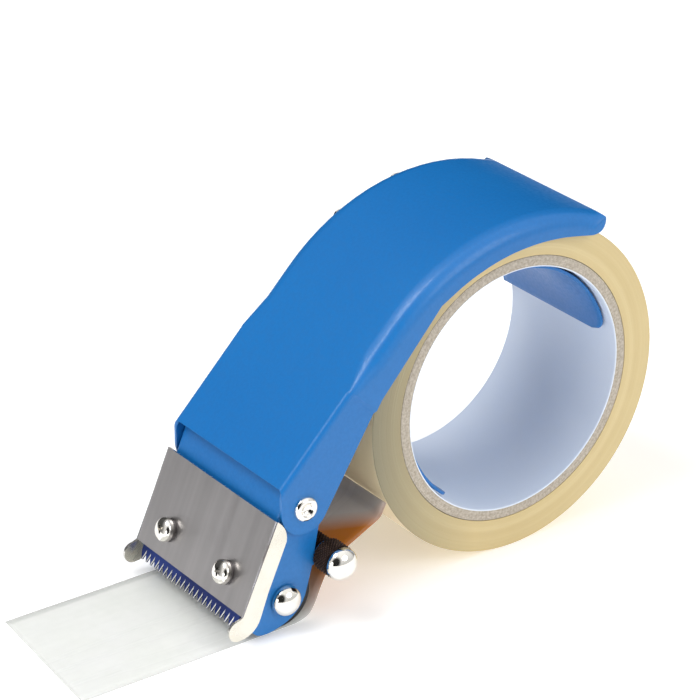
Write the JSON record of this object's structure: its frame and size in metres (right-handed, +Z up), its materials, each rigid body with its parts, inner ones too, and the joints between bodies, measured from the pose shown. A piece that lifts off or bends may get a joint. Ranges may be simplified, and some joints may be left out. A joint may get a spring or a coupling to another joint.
{
  "type": "hand-held packing tape dispenser",
  "caption": "Hand-held packing tape dispenser: bent blue sheet handle carrying a tape roll on core tabs, with a hinged steel head holding a guide roller, press roller and toothed blade.",
  "frame": {"origin": "middle of the base of the bounding box, on the surface the dispenser rests on", "axes": "+X is the operator's right-hand side and the roll's axis runs along it, -Y points the way the tape is laid, +Z up"},
  "size_m": [0.0738, 0.201, 0.1056],
  "materials": {
    "painted_sheet": "satin blue powder coat",
    "brushed_cover": "brushed stainless",
    "polished": "nickel plate",
    "blued_blade": "blued spring steel, ground bevels",
    "spring_steel": "oiled spring steel",
    "rubber": "matt black",
    "knurled": "blackened diamond knurl",
    "paperboard": "grey-beige wound board, white liner",
    "tape_roll": "clear film wound to amber",
    "tape_film": "clear film with a milky sticky side"
  },
  "bodies": {
    "handle": {"handle_shell": "painted_sheet", "roll_hub_plate": "painted_sheet", "hub_rivet_front": "polished", "hub_rivet_middle": "polished", "hub_rivet_rear": "polished", "pivot_shaft": "polished", "pivot_sleeve": "spring_steel", "head_return_spring": "spring_steel"},
    "head": {"head_bracket": "painted_sheet", "blade_cover": "brushed_cover", "blade": "blued_blade", "blade_backing_strip": "brushed_cover", "blade_screw_left": "polished", "blade_screw_right": "polished", "screw_washer_left": "spring_steel", "screw_washer_right": "spring_steel", "press_axle": "polished", "press_axle_cap_left": "polished", "press_axle_cap_right": "polished", "tape_tail": "tape_film", "tape_web": "tape_film"},
    "press_roller": {"press_roller_sleeve": "rubber", "press_roller_tube": "brushed_cover"},
    "guide_roller": {"guide_axle": "brushed_cover", "guide_roller_barrel": "knurled", "guide_knob_left": "knurled", "guide_knob_right": "knurled", "guide_cap_left": "polished", "guide_cap_right": "polished"},
    "tape_roll": {"paper_core": "paperboard", "tape_wound": "tape_roll"}
  },
  "joints": [
    {"name": "head_pivot", "type": "hinge", "parent": "handle", "child": "head", "pos_m": [0, -0.0277, 0.0381], "axis": [1, 0, 0], "range_deg": [0, 10], "stiffness_Nm_per_rad": 0.15, "springref_deg": -34.38, "deforming": ["head_return_spring", "tape_web"]},
    {"name": "press_roller_spin", "type": "hinge", "parent": "head", "child": "press_roller", "pos_m": [0, -0.0343, 0.0105], "axis": [1, 0, 0], "continuous": true},
    {"name": "guide_roller_spin", "type": "hinge", "parent": "head", "child": "guide_roller", "pos_m": [0, -0.0195, 0.0203], "axis": [1, 0, 0], "continuous": true},
    {"name": "tape_roll_spin", "type": "hinge", "parent": "handle", "child": "tape_roll", "pos_m": [0, 0.049, 0.0515], "axis": [1, 0, 0], "continuous": true}
  ]
}
